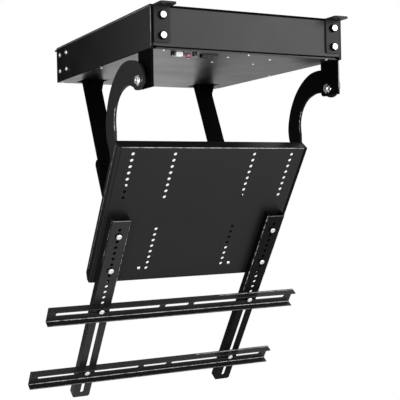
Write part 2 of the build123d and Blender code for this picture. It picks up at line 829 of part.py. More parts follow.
pin_places = [Plane(origin=(s * ear_inner, *clevis_point), z_dir=(-s, 0, 0)) for s in (-1, 1)]
pin_places += [
    Plane(origin=(s * (ear_outer + ear_sheet), *clevis_point), z_dir=(s, 0, 0)) for s in (-1, 1)
]
save_bolts("clevis_pins", pin_places, stay_pin_radius, ear_sheet + ear_gap + link_sheet - 0.1, 8, 3)

# Screws of the clevises, seen on the tray's face
save_bolts(
    "tray_screws",
    [tray_place(s * tray_screw_u, tray_screw_v, 0) for s in (-1, 1)],
    tray_screw_radius,
    tray_sheet + clevis_sheet,
    4.5,
    2.5,
)

# Television brackets: a channel down the tray's face, with a row of holes and a long slot
with BuildPart() as tv_bracket:
    bracket_mid = (tv_bracket_top + tv_bracket_bottom) / 2
    bracket_length = tv_bracket_bottom - tv_bracket_top
    with BuildSketch(tray_plane) as outline:
        with Locations((tv_bracket_u, -bracket_mid)):
            Rectangle(tv_bracket_width, bracket_length)
        chamfer(outline.vertices().group_by(Axis.Y)[0], tv_bracket_chamfer)
    extrude(amount=tv_bracket_face)
    with BuildSketch(tray_plane):
        with Locations((tv_bracket_u, -bracket_mid)):
            Rectangle(tv_bracket_width - 2 * tv_bracket_sheet, bracket_length + 2)
    extrude(amount=tv_bracket_face - tv_bracket_sheet, mode=Mode.SUBTRACT)
    with BuildSketch(tray_plane.offset(tv_bracket_face)):
        with Locations([(tv_bracket_u, -tv_bracket_holes_v - hole_pitch * k) for k in range(tv_bracket_hole_count)]):
            Circle(hole_radius)
        with Locations((tv_bracket_u, -rail_places["upper"][0])):
            Circle(slot_width / 2)
        with Locations((tv_bracket_u, -sum(tv_bracket_slot) / 2)):
            SlotOverall(tv_bracket_slot[1] - tv_bracket_slot[0], slot_width, rotation=90)
    extrude(amount=-tv_bracket_sheet, mode=Mode.SUBTRACT)
save_pair(tv_bracket, "tv_bracket")

tv_bolt_places = [tray_place(s * tv_bracket_u, v, tv_bracket_face) for s in (-1, 1) for v in tv_bolts_v]
tv_grip = tv_bracket_face + tray_sheet
save_bolts("tv_bracket_bolts", tv_bolt_places, hole_radius - running_gap, tv_grip + 6, 7, 4, tv_grip)

# Cross rails: a channel with a long, a short and a long slot
for name, (rail_v, rail_shift) in rail_places.items():
    with BuildPart() as rail:
        with BuildSketch(tray_plane.offset(tv_bracket_face)):
            with Locations((rail_shift, -rail_v)):
                Rectangle(rail_length, rail_height)
        extrude(amount=rail_depth)
        with BuildSketch(tray_plane.offset(tv_bracket_face + rail_sheet)):
            with Locations((rail_shift, -rail_v)):
                Rectangle(rail_length, rail_height - 2 * rail_sheet)
        extrude(amount=rail_depth, mode=Mode.SUBTRACT)
        slot_step = (rail_long_slot + rail_short_slot) / 2 + rail_bridge
        with BuildSketch(tray_plane.offset(tv_bracket_face)):
            with Locations((rail_shift - slot_step, -rail_v), (rail_shift + slot_step, -rail_v)):
                SlotOverall(rail_long_slot, slot_width)
            with Locations((rail_shift, -rail_v)):
                SlotOverall(rail_short_slot, slot_width)
        extrude(amount=rail_sheet, mode=Mode.SUBTRACT)
    save(rail, f"cross_rail_{name}")

rail_bolt_places = [
    tray_place(s * tv_bracket_u, v, tv_bracket_face + rail_sheet) for s in (-1, 1) for v, shift in rail_places.values()
]
rail_grip = rail_sheet + tv_bracket_sheet
save_bolts("rail_bolts", rail_bolt_places, slot_width / 2 - bolt_play, rail_grip + 8, 8, 4.5, rail_grip)

# Control box and power supply
with BuildPart() as control_box:
    with BuildSketch(Plane.XY.offset(cover_over)):
        with Locations(control_place):
            Rectangle(*control_size)
    extrude(amount=control_height)
    with BuildSketch(Plane.XY.offset(cover_over)):
        with Locations(inlet_place):
            Rectangle(*inlet_size)
        with Locations(signal_place):
            Rectangle(*signal_size)
        with Locations(sensor_place):
            Circle(sensor_radius)
        with Locations(button_place):
            Circle(button_radius + moving_gap)
    extrude(amount=socket_top - cover_over, mode=Mode.SUBTRACT)
save(control_box, "control_box")
with BuildPart() as power_supply:
    with BuildSketch(Plane.XY.offset(cover_over)):
        with Locations(supply_place):
            Rectangle(*supply_foot)
    extrude(amount=supply_foot_sheet)
    with BuildSketch(Plane.XY.offset(cover_over + supply_foot_sheet)):
        with Locations(supply_place):
            Rectangle(*supply_size)
    extrude(amount=supply_height - supply_foot_sheet)
save(power_supply, "power_supply")

# Power inlet: an open socket with two pins
inlet_under = cover_under - inlet_drop
with BuildPart() as power_inlet:
    with BuildSketch(Plane.XY.offset(inlet_under)):
        with Locations(inlet_place):
            Rectangle(*inlet_size)
    extrude(amount=socket_top - inlet_under)
    with BuildSketch(Plane.XY.offset(inlet_under)):
        with Locations(inlet_place):
            SlotOverall(24, 9)
    extrude(amount=13, mode=Mode.SUBTRACT)
    with BuildSketch(Plane.XY.offset(inlet_under + 3)):
        with Locations((inlet_place[0] - 4, inlet_place[1]), (inlet_place[0] + 4, inlet_place[1])):
            Circle(1.2)
    extrude(amount=10)
save(power_inlet, "power_inlet")

# Signal socket, sensor socket and the button, which hang out of the cover
plug_under = cover_under - plug_drop
with BuildPart() as signal_socket:
    with BuildSketch(Plane.XY.offset(plug_under)):
        with Locations(signal_place):
            Rectangle(*signal_size)
    extrude(amount=socket_top - plug_under)
    with BuildSketch(Plane.XY.offset(plug_under)):
        with Locations(signal_place):
            Rectangle(10, 8)
    extrude(amount=10, mode=Mode.SUBTRACT)
save(signal_socket, "signal_socket")
with BuildPart() as sensor_socket:
    with BuildSketch(Plane.XY.offset(plug_under)):
        with Locations(sensor_place):
            Circle(sensor_radius)
            Circle(2, mode=Mode.SUBTRACT)
    extrude(amount=socket_top - plug_under)
save(sensor_socket, "sensor_socket")
with BuildPart() as button:
    with BuildSketch(Plane.XY.offset(cover_under - button_drop)):
        with Locations(button_place):
            Circle(button_radius)
    extrude(amount=socket_top - cover_under + button_drop - 2)
save(button, "pairing_button")

# Limit switches beside the crossbar's ends of travel
with BuildPart() as switches:
    for y in (pin_y - 26, pin_y - 26 + travel):
        with BuildSketch(Plane.XY.offset(-sheet)):
            with Locations((switch_x, y)):
                Rectangle(*switch_size)
        extrude(amount=-switch_height)
        with BuildSketch(Plane.XY.offset(-20)):
            with Locations((switch_x - 6, y)):
                Rectangle(4, 4)
        extrude(amount=-6)
save(switches, "limit_switches")
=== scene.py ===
import json
import math
import bmesh
import bpy
import numpy as np
from mathutils import Euler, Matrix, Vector


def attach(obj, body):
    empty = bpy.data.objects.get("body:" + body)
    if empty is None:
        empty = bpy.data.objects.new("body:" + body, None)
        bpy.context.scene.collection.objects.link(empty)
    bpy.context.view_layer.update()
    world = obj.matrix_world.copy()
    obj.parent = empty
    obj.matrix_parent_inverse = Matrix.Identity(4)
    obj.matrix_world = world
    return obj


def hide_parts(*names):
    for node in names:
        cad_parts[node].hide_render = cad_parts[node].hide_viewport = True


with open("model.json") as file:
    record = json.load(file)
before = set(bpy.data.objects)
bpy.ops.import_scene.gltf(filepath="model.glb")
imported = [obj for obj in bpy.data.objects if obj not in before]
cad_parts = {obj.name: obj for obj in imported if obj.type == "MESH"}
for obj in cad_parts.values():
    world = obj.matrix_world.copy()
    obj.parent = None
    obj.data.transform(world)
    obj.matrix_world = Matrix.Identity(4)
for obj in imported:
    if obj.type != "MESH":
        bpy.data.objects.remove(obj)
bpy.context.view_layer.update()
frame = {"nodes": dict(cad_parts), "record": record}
print("frame loaded:", len(frame["nodes"]), "nodes")

mm = 0.001  # one millimetre in metres


# sRGB hex to linear: a channel c from 0 to 1 becomes c / 12.92 up to 0.04045, and above that
# (c + 0.055) / 1.055 raised to 2.4
def linearColour(hexText):
    channels = [int(hexText[i:i + 2], 16) / 255 for i in (1, 3, 5)]
    return tuple(c / 12.92 if c <= 0.04045 else ((c + 0.055) / 1.055) ** 2.4 for c in channels) + (1.0,)


# Adds one node, sets its properties and inputs, and links what is given as (node, output)
def addNode(tree, kind, settings=None, links=None, **properties):
    node = tree.nodes.new(kind)
    for name, value in properties.items():
        setattr(node, name, value)
    for name, value in (settings or {}).items():
        node.inputs[name].default_value = value
    for name, (source, output) in (links or {}).items():
        tree.links.new(source.outputs[output], node.inputs[name])
    return node


# An empty material and its node tree
def newMaterial(name):
    material = bpy.data.materials.new(name)
    material.use_nodes = True
    material.node_tree.nodes.clear()
    return material, material.node_tree


# Settings of a noise from its grain size in millimetres: the scale is the number of grains in a metre
def grainOf(sizeMm, detail=2.0, roughness=0.55):
    return {"Scale": 1 / (sizeMm * mm), "Detail": detail, "Roughness": roughness}


noiseRange = {"From Min": 0.3, "From Max": 0.7}  # nearly all of a noise lies between these


# Roughness and bump of a surface: the roughness goes from the given one less the spread to the given
# one plus the spread as the clouds go through the noise's range, and the grain is the bump's height
def glossAndBump(tree, clouds, grain, roughness, bump, relief, under=None):
    spread = {"To Min": roughness - relief["spread"], "To Max": roughness + relief["spread"]}
    gloss = addNode(tree, "ShaderNodeMapRange", {**noiseRange, **spread}, {"Value": (clouds, "Fac")})
    raised = addNode(
        tree, "ShaderNodeBump", {"Strength": bump, "Distance": relief["depthMm"] * mm},
        {"Height": (grain, "Fac"), **(under or {})},
    )
    return {"Roughness": (gloss, "Result"), "Normal": (raised, "Normal")}


# Powder coat on steel sheet: baked polyester with a fine orange peel and a satin gloss, in faint
# patches. Near bends and cut edges an edge colour is mixed in as painted light: paler, a painted
# highlight, on most pieces, and darker, painted shade, on the rails and brackets. The coats of the
# side plates, the right arm, the right television bracket, the stays, the pivot brackets and the top
# pan are copies of the one black coat made darker as painted shade, and the coat of the rails and the
# left television bracket is a lighter copy of the frame coat, painted light.
# The peel is really 0.3 mm and the edge 0.5 mm; both are drawn coarser, so that they show.
powderCoat = {
    "housing coat": {"colour": "#171717", "paler": "#1c1c1c", "edge": "#3c3c3c", "roughness": 0.4, "specular": 0.33},
    "cover coat": {"colour": "#161616", "paler": "#1b1b1b", "edge": "#3c3c3c", "roughness": 0.34, "specular": 0.31},
    # a darker copy of the coat, painted shade on the side plates
    "shaded side coat": {"colour": "#070707", "paler": "#0a0a0a", "edge": "#1c1c1c", "roughness": 0.22, "specular": 0.09},
    # its darker edge colour is painted shade
    "bracket coat": {"colour": "#111111", "paler": "#151515", "edge": "#0c0c0c", "roughness": 0.42, "specular": 0.22},
    "frame coat": {"colour": "#101010", "paler": "#141414", "edge": "#2c2c2c", "roughness": 0.4, "specular": 0.16},
    # a lighter copy of the frame coat, painted light on the rails and the left television bracket; its darker edge
    # colour is painted shade
    "lighter rail coat": {"colour": "#121212", "paler": "#161616", "edge": "#0c0c0c", "roughness": 0.4, "specular": 0.26},
    # darker copies of the coat, painted shade on the right television bracket and the right arm
    "shaded frame coat": {"colour": "#040404", "paler": "#060606", "edge": "#1c1c1c", "roughness": 0.5, "specular": 0.06},
    "shaded arm coat": {"colour": "#040404", "paler": "#060606", "edge": "#1c1c1c", "roughness": 0.5, "specular": 0.04},
    # a darker copy of the coat, painted shade on the stays, the pivot brackets and the top pan
    "shaded stay coat": {"colour": "#030303", "paler": "#050505", "edge": "#101010", "roughness": 0.6, "specular": 0.02},
}
coatPeel = {
    "patchMm": 90, "spread": 0.03, "peelMm": 1.6, "peelRoughness": 0.5, "bump": 0.05, "depthMm": 0.2,
    "edgeMm": 1.0, "edgeSamples": 6, "ior": 1.5,
}
edgeCosine = {"From Min": 0.98, "From Max": 0.8}  # where the edge's shade begins and where it is full


# How near a point is to an edge, the mask of the painted edge highlight and edge shade: it grows from
# 0 to 1 as the cosine between the rounded and the flat normal falls
def edgeNearness(tree, rounded):
    flat = addNode(tree, "ShaderNodeNewGeometry")
    cosine = addNode(
        tree, "ShaderNodeVectorMath", links={0: (rounded, "Normal"), 1: (flat, "True Normal")},
        operation="DOT_PRODUCT",
    )
    return addNode(tree, "ShaderNodeMapRange", edgeCosine, {"Value": (cosine, "Value")})


def powderCoatMaterial(name):
    look = powderCoat[name]
    material, tree = newMaterial(name)
    onPiece = {"Vector": (addNode(tree, "ShaderNodeTexCoord"), "Object")}
    patches = addNode(tree, "ShaderNodeTexNoise", grainOf(coatPeel["patchMm"]), onPiece)
    peelGrain = grainOf(coatPeel["peelMm"], roughness=coatPeel["peelRoughness"])
    peel = addNode(tree, "ShaderNodeTexNoise", peelGrain, onPiece)
    rounded = addNode(
        tree, "ShaderNodeBevel", {"Radius": coatPeel["edgeMm"] * mm}, samples=coatPeel["edgeSamples"]
    )
    colour = addNode(
        tree, "ShaderNodeMix", {"A": linearColour(look["colour"]), "B": linearColour(look["paler"])},
        {"Factor": (patches, "Fac")}, data_type="RGBA",
    )
    # the edge colour mixed in near edges: a painted highlight where it is paler, painted shade where it is darker
    paintedEdgeLight = addNode(
        tree, "ShaderNodeMix", {"B": linearColour(look["edge"])},
        {"Factor": (edgeNearness(tree, rounded), "Result"), "A": (colour, "Result")}, data_type="RGBA",
    )
    surface = glossAndBump(
        tree, patches, peel, look["roughness"], coatPeel["bump"], coatPeel, {"Normal": (rounded, "Normal")}
    )
    shader = addNode(
        tree, "ShaderNodeBsdfPrincipled", {"IOR": coatPeel["ior"], "Specular IOR Level": look["specular"]},
        {"Base Color": (paintedEdgeLight, "Result"), **surface},
    )
    addNode(tree, "ShaderNodeOutputMaterial", links={"Surface": (shader, "BSDF")})
    return material


# Metals: zinc plate is bright with a faint cloud, ground steel is grey and finely grained,
# cast alloy is pale and pitted, bronze is warm. The grains are really a few tenths of a millimetre
# and are drawn coarser, so that they show.
metalLooks = {
    "zinc plate": {"colour": "#d9dadb", "roughness": 0.24, "grainMm": 3.0, "bump": 0.04},
    "dull zinc": {"colour": "#8a8b8c", "roughness": 0.45, "grainMm": 2.0, "bump": 0.06},
    "ground steel": {"colour": "#a3a5a6", "roughness": 0.3, "grainMm": 1.2, "bump": 0.05},
    "cast alloy": {"colour": "#8d8f90", "roughness": 0.55, "grainMm": 0.8, "bump": 0.25},
    "turned bronze": {"colour": "#b58a4a", "roughness": 0.32, "grainMm": 1.0, "bump": 0.06},
}
metalRelief = {"cloudGrains": 4, "cloudDetail": 3.0, "grainDetail": 4.0, "depthMm": 0.1, "spread": 0.06}


def metalMaterial(name):
    look = metalLooks[name]
    material, tree = newMaterial(name)
    onPiece = {"Vector": (addNode(tree, "ShaderNodeTexCoord"), "Object")}
    cloudMm = look["grainMm"] * metalRelief["cloudGrains"]
    clouds = addNode(tree, "ShaderNodeTexNoise", grainOf(cloudMm, metalRelief["cloudDetail"]), onPiece)
    grain = addNode(tree, "ShaderNodeTexNoise", grainOf(look["grainMm"], metalRelief["grainDetail"]), onPiece)
    shader = addNode(
        tree, "ShaderNodeBsdfPrincipled", {"Base Color": linearColour(look["colour"]), "Metallic": 1.0},
        glossAndBump(tree, clouds, grain, look["roughness"], look["bump"], metalRelief),
    )
    addNode(tree, "ShaderNodeOutputMaterial", links={"Surface": (shader, "BSDF")})
    return material


# Moulded plastics and enamel: spark-eroded grain on the black boxes, a clean gloss on the rest.
# The spark grain is really 0.1 mm and is drawn coarser, so that it shows.
plasticLooks = {
    "moulded black ABS": {"colour": "#161616", "roughness": 0.55, "grainMm": 0.7, "bump": 0.2, "ior": 1.53},
    "white nylon": {"colour": "#dededc", "roughness": 0.35, "grainMm": 1.5, "bump": 0.04, "ior": 1.53},
    "red button cap": {"colour": "#7c1a34", "roughness": 0.15, "grainMm": 2.0, "bump": 0.02, "ior": 1.5},
    "pink rim": {"colour": "#b07a8c", "roughness": 0.3, "grainMm": 2.0, "bump": 0.02, "ior": 1.5},
    "gloss black": {"colour": "#080808", "roughness": 0.1, "grainMm": 2.0, "bump": 0.02, "ior": 1.53},
    "black enamel": {"colour": "#101112", "roughness": 0.3, "grainMm": 1.4, "bump": 0.06, "ior": 1.5},
}
plasticRelief = {"grainDetail": 3.0, "depthMm": 0.1, "spread": 0.05}


def plasticMaterial(name):
    look = plasticLooks[name]
    material, tree = newMaterial(name)
    onPiece = {"Vector": (addNode(tree, "ShaderNodeTexCoord"), "Object")}
    grain = addNode(tree, "ShaderNodeTexNoise", grainOf(look["grainMm"], plasticRelief["grainDetail"]), onPiece)
    shader = addNode(
        tree, "ShaderNodeBsdfPrincipled", {"Base Color": linearColour(look["colour"]), "IOR": look["ior"]},
        glossAndBump(tree, grain, grain, look["roughness"], look["bump"], plasticRelief),
    )
    addNode(tree, "ShaderNodeOutputMaterial", links={"Surface": (shader, "BSDF")})
    return material


# Painted highlight lines: on edges the coat colour is mixed with a pale colour in broken lengths of a
# few millimetres, which paints a fine bright line that comes and goes; on bends it is mixed more evenly into a greyer
# line
paintedHighlightLooks = {
    "painted edge highlight": {
        "coat": "#1c1c1c", "highlight": "#c8c8c8", "breakMm": 7, "from": 0.42, "to": 0.62, "roughness": 0.35,
    },
    "painted bend highlight": {
        "coat": "#4a4a4a", "highlight": "#a4a4a4", "breakMm": 14, "from": 0.32, "to": 0.6, "roughness": 0.4,
    },
}


def paintedHighlightMaterial(name):
    look = paintedHighlightLooks[name]
    material, tree = newMaterial(name)
    onPiece = {"Vector": (addNode(tree, "ShaderNodeTexCoord"), "Object")}
    breaks = addNode(tree, "ShaderNodeTexNoise", grainOf(look["breakMm"]), onPiece)
    paintedEdgeLight = addNode(
        tree, "ShaderNodeMapRange", {"From Min": look["from"], "From Max": look["to"]}, {"Value": (breaks, "Fac")}
    )
    colour = addNode(
        tree, "ShaderNodeMix", {"A": linearColour(look["coat"]), "B": linearColour(look["highlight"])},
        {"Factor": (paintedEdgeLight, "Result")}, data_type="RGBA",
    )
    shader = addNode(
        tree, "ShaderNodeBsdfPrincipled", {"IOR": coatPeel["ior"], "Roughness": look["roughness"]},
        {"Base Color": (colour, "Result")},
    )
    addNode(tree, "ShaderNodeOutputMaterial", links={"Surface": (shader, "BSDF")})
    return material


# Washers and dark strips: black foam rubber, dull and very dark, with open pores of about half a
# millimetre, which are drawn a little coarser, so that they show. The strips in the gaps between plates are painted
# shade, and the black ring of the washers also paints the shade round each bolt head
shadeFoamLook = {"colour": "#030303", "poreMm": 0.8, "bump": 0.4, "depthMm": 0.3, "roughness": 0.95, "specular": 0.05}


def shadeFoamMaterial():
    look = shadeFoamLook
    material, tree = newMaterial("black foam, painted shade")
    onPiece = {"Vector": (addNode(tree, "ShaderNodeTexCoord"), "Object")}
    pores = addNode(tree, "ShaderNodeTexNoise", grainOf(look["poreMm"]), onPiece)
    pitted = addNode(
        tree, "ShaderNodeBump", {"Strength": look["bump"], "Distance": look["depthMm"] * mm},
        {"Height": (pores, "Fac")},
    )
    plain = {
        "Base Color": linearColour(look["colour"]), "Roughness": look["roughness"],
        "Specular IOR Level": look["specular"],
    }
    shader = addNode(tree, "ShaderNodeBsdfPrincipled", plain, {"Normal": (pitted, "Normal")})
    addNode(tree, "ShaderNodeOutputMaterial", links={"Surface": (shader, "BSDF")})
    return material


finishes = {name: powderCoatMaterial(name) for name in powderCoat}
finishes.update({name: paintedHighlightMaterial(name) for name in paintedHighlightLooks})
finishes["black foam, painted shade"] = shadeFoamMaterial()
finishes.update({name: metalMaterial(name) for name in metalLooks})
finishes.update({name: plasticMaterial(name) for name in plasticLooks})

# Which finish each of the record's material slots takes, and the nodes that differ from their slot
slotFinish = {
    "housing_coat": "housing coat",
    "bracket_coat": "bracket coat",
    "frame_coat": "frame coat",
    # the stay slot takes a darker copy of the coat, painted shade
    "stay_coat": "shaded stay coat",
    "zinc_fastener": "zinc plate",
    "bright_steel": "ground steel",
    "carriage_alloy": "cast alloy",
    "motor_steel": "black enamel",
    "nut_bronze": "turned bronze",
    "black_plastic": "moulded black ABS",
    "white_plastic": "white nylon",
    "red_plastic": "red button cap",
}
# Most of these nodes take a darker copy of the coat, painted shade for parts in shade; the left television bracket
# and the rails take the lighter rail coat, painted light; the bottom cover and the sensor socket take their own
# finishes
nodeFinish = {
    "top_pan": "shaded stay coat",
    "bottom_cover": "cover coat",
    "side_plate_left": "shaded side coat",
    "side_plate_right": "shaded side coat",
    "pivot_bracket_left": "shaded stay coat",
    "pivot_bracket_right": "shaded stay coat",
    "tv_bracket_left": "lighter rail coat",
    "tv_bracket_right": "shaded frame coat",
    "gooseneck_arm_right": "shaded arm coat",
    "sensor_socket": "gloss black",
    "cross_rail_upper": "lighter rail coat",
    "cross_rail_lower": "lighter rail coat",
}
nodeSlots = {part["node"]: part["material_slot"] for part in frame["record"]["subparts"]}
for nodeName, slotName in nodeSlots.items():
    nodeObject = frame["nodes"][nodeName]
    nodeObject.data.materials.clear()
    nodeObject.data.materials.append(finishes[nodeFinish.get(nodeName, slotFinish[slotName])])
print("finishes on", len(nodeSlots), "nodes")


# Puts points in metres and their faces into a mesh with one finish, and the mesh into the scene
def addMesh(name, points, faces, material):
    mesh = bpy.data.meshes.new(name)
    mesh.from_pydata(points, [], faces)
    mesh.update()
    mesh.materials.append(material)
    piece = bpy.data.objects.new(name, mesh)
    bpy.context.scene.collection.objects.link(piece)
    return piece


turned = {"ringPoints": 48, "smoothDeg": 35, "upright": 0.9}  # an axis is upright past this share of z


# Rings of points round an upright axis, from rows of radius, height and hexagon share in
# millimetres: the radius goes from a circle at share 0 to a hexagon, corners out, at share 1
def turnedRings(rows):
    angles = np.arange(turned["ringPoints"]) * 2 * np.pi / turned["ringPoints"]
    hexagon = np.cos(np.pi / 6) / np.cos(np.mod(angles, np.pi / 3) - np.pi / 6)
    table = np.array(rows, dtype=float)
    radius = table[:, :1] * (1 + table[:, 2:] * (hexagon - 1))
    height = np.broadcast_to(table[:, 1:2], radius.shape)
    return np.stack([radius * np.cos(angles), radius * np.sin(angles), height], axis=2)


# Faces of a stack of rings: a quad between neighbours, and a cap on the first and last ring
def ringFaces(ringCount, sides, offset=0):
    ring, column = np.meshgrid(np.arange(ringCount - 1), np.arange(sides), indexing="ij")
    after = (column + 1) % sides
    low, high = ring * sides, (ring + 1) * sides
    quads = np.stack([low + column, low + after, high + after, high + column], axis=2).reshape(-1, 4)
    firstCap = np.arange(sides - 1, -1, -1)
    lastCap = np.arange(sides) + (ringCount - 1) * sides
    return [*(quads + offset).tolist(), (firstCap + offset).tolist(), (lastCap + offset).tolist()]


# Turned parts in one mesh. Each place is an origin in millimetres, the outward axis and a turn in
# degrees: a point is the origin plus its x, y and height along two square directions and the axis
def turnedPiece(name, parts, finish):
    points, faces, total = [], [], 0
    for rows, places in parts:
        rings = turnedRings(rows)
        for origin, axis, turnDeg in places:
            outward = np.array(axis, dtype=float)
            isUpright = abs(outward[2]) > turned["upright"]
            across = np.cross(outward, (0.0, 1.0, 0.0) if isUpright else (0.0, 0.0, 1.0))
            across /= np.linalg.norm(across)
            upward = np.cross(outward, across)
            turn = math.radians(turnDeg)
            first = across * math.cos(turn) + upward * math.sin(turn)
            second = np.cross(outward, first)
            placed = np.array(origin) + rings @ np.stack([first, second, outward])
            points.append(placed.reshape(-1, 3) * mm)
            faces += ringFaces(len(rings), turned["ringPoints"], total)
            total += len(rings) * turned["ringPoints"]
    piece = addMesh(name, np.concatenate(points).tolist(), faces, finishes[finish])
    piece.data.shade_smooth()
    piece.data.set_sharp_from_angle(angle=math.radians(turned["smoothDeg"]))
    return piece


# The tray's own frame, in millimetres: u across, v down from the top edge, n out of the face. A point
# is the middle of the top edge plus u along x, v along the way down and n along the way out
tray = {"tiltDeg": 33.76, "topY": -138.0, "topZ": -271.65}
trayTilt = math.radians(tray["tiltDeg"])
trayDown = np.array([0, math.sin(trayTilt), -math.cos(trayTilt)])
trayOut = np.array([0, -math.cos(trayTilt), -math.sin(trayTilt)])


def onTray(u, v, n):
    return np.array([u, tray["topY"], tray["topZ"]]) + v * trayDown + n * trayOut


# Bolts: every head is rows of radius, height and hexagon share, from its seat to its top
boltHeads = {
    "tallHex": [
        (6.7, 2.6, 1), (6.7, 7.2, 1), (6.5, 7.7, 0.7), (6.2, 8.0, 0), (2.6, 8.0, 0), (2.4, 7.8, 0), (0.5, 7.8, 0),
    ],
    "pivotButton": [
        (10.6, 0, 0), (10.6, 1.2, 0), (10.3, 1.5, 0), (9.2, 1.6, 0), (9.1, 4.2, 0), (8.6, 5.2, 0), (7.4, 5.7, 0),
        (2.8, 5.8, 0), (2.6, 5.7, 1), (2.4, 4.8, 1), (0.5, 4.7, 1),
    ],
    "button": [
        (6.8, 1.8, 0), (6.8, 4.2, 0), (6.4, 5.2, 0), (5.4, 5.7, 0), (1.9, 5.8, 0), (1.7, 5.7, 1), (1.5, 5.2, 1),
        (0.4, 5.1, 1),
    ],
    "socketButton": [
        (6.5, 1.8, 0), (6.5, 3.6, 0), (5.9, 4.8, 0), (4.7, 5.4, 0), (3.6, 5.5, 0), (3.3, 5.3, 1), (3.1, 2.4, 1),
        (0.4, 2.3, 1),
    ],
    "sidePan": [
        (5.2, 0, 0), (5.2, 1.3, 0), (4.9, 1.8, 0), (4.4, 2.0, 0), (1.4, 2.1, 0), (1.2, 1.6, 1), (0.3, 1.5, 1),
    ],
    "trayPan": [
        (4.4, 0, 0), (4.4, 1.0, 0), (3.9, 1.9, 0), (2.9, 2.4, 0), (1.6, 2.5, 0), (1.4, 1.4, 1), (0.3, 1.3, 1),
    ],
    "coverPan": [
        (3.2, 0, 0), (3.2, 0.6, 0), (2.7, 1.2, 0), (1.8, 1.45, 0), (1.0, 1.5, 0), (0.8, 0.9, 1), (0.2, 0.9, 1),
    ],
    "washer": [(8.6, 0, 0), (8.6, 2.2, 0), (8.2, 2.7, 0), (3.0, 2.7, 0)],
    "smallWasher": [(8.2, 0, 0), (8.2, 1.5, 0), (7.9, 1.8, 0), (3.0, 1.8, 0)],
}
# Each set's heads, its shank as radius, grip, nut height and length, or as radius and length where it
# has no nut, the turn of its first head and the step to the next in degrees, its body and its washers
boltSets = {
    "bracket_bolts_front": {
        "word": "tallHex", "heads": ("tallHex",), "shank": (4, 6, 5.6, 15), "turns": (0, 11), "body": "housing",
        "washers": ("bracket_bolts_front_washers", "washer"),
    },
    "bracket_bolts_rear": {
        "word": "tallHex", "heads": ("tallHex",), "shank": (4, 9, 5.6, 18), "turns": (0, 11), "body": "housing",
        "washers": ("bracket_bolts_rear_washers", "washer"),
    },
    "side_screws": {
        "word": "pan", "heads": ("sidePan",), "shank": (2.5, 1.9), "turns": (0, 20), "body": "housing",
    },
    "cover_screws": {
        "word": "pan", "heads": ("coverPan",), "shank": (2, 1.5), "turns": (0, 25), "body": "housing",
    },
    "pivot_bolts": {
        "word": "button", "heads": ("pivotButton",), "shank": (6, 17.3, 5, 23.8), "turns": (14, 0),
        "body": "housing",
    },
    "tv_bracket_bolts": {
        "word": "button", "heads": ("button", "socketButton"), "shank": (4.05, 23.5, 5.67, 29.5),
        "turns": (17, 0), "body": "tv_frame", "washers": ("tv_bracket_washers", "smallWasher"),
    },
    "rail_bolts": {
        "word": "button", "heads": ("button",), "shank": (4.05, 5.5, 5.67, 13.5), "turns": (9, 0),
        "body": "tv_frame", "washers": ("rail_washers", "smallWasher"),
    },
    "tray_screws": {
        "word": "pan", "heads": ("trayPan",), "shank": (2.5, 6.5), "turns": (30, 0), "body": "tv_frame",
    },
}
# Where the bolts sit, in millimetres, as the frame has them
boltPlaces = {
    "legX": 203.5, "legZ": (-21, -61), "legY": 294, "sideX": 227.5, "sideY": (216, 265),
    "pivot": (237.3, -248, -145), "tvU": 200, "tvV": (217.7, 313.7), "tvN": 21, "railV": (432.5, 627.5),
    "railN": 23.5, "traySpot": (120, 328), "coverZ": -87,
    "coverSpots": (
        (-195, -280), (0, -280), (195, -280), (-26, -238), (-26, -166), (77, -238), (77, -166),
        (-219.5, -2), (-219.5, 270), (219.5, -2), (219.5, 270),
    ),
}
nutShape = {
    "cornerTimes": 1.85, "seatTimes": 0.93, "topTimes": 0.9, "chamfer": 0.6, "mouth": 0.4, "threadIn": 0.1,
    "tip": 0.8, "cap": 0.4,
}
plainEnd = {"tip": 0.5, "cap": 0.3}


# A shank with its nut, as rows from the head's seat inwards: the nut's corners are a number of shank
# radii out, both its ends are chamfered to a circle, and the thread ends in a cone to a small cap
def nutRows(radius, grip, nutHeight, length):
    look = nutShape
    corner = look["cornerTimes"] * radius
    thread = radius - look["threadIn"]
    top = grip + nutHeight
    return [
        (radius, 0, 0), (radius, grip, 0), (corner * look["seatTimes"], grip, 0),
        (corner, grip + look["chamfer"], 1), (corner, top - look["chamfer"], 1), (corner * look["topTimes"], top, 0),
        (radius + look["mouth"], top, 0), (thread, top - look["mouth"], 0), (thread, length - look["tip"], 0),
        (thread - look["tip"], length, 0), (look["cap"], length, 0),
    ]


# A plain shank, as rows: a cylinder that ends in a cone to a small cap
def plainShank(radius, length):
    tip, cap = plainEnd["tip"], plainEnd["cap"]
    return [(radius, 0, 0), (radius, length - tip, 0), (radius - tip, length, 0), (cap, length, 0)]


# One set of bolts, which stands for its node: a head at each spot, and its shank the other way. Each
# head is turned by the first turn plus its number times the step
def makeBoltSet(node, spots):
    look = boltSets[node]
    firstTurn, step = look["turns"]
    places = [(spot, axis, firstTurn + step * i) for i, (spot, axis) in enumerate(spots)]
    inwards = [(spot, -np.array(axis, dtype=float), turnDeg) for spot, axis, turnDeg in places]
    shank = nutRows(*look["shank"]) if len(look["shank"]) == 4 else plainShank(*look["shank"])
    share = len(places) // len(look["heads"])
    parts = [(boltHeads[head], places[i * share:(i + 1) * share]) for i, head in enumerate(look["heads"])]
    piece = turnedPiece(f"{node}_{look['word']}", [*parts, (shank, inwards)], "zinc plate")
    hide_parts(node)
    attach(piece, look["body"])
    # The washers are black foam: real washers, whose dark ring also paints the shade round each head
    if "washers" in look:
        name, kind = look["washers"]
        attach(turnedPiece(name, [(boltHeads[kind], places)], "black foam, painted shade"), look["body"])


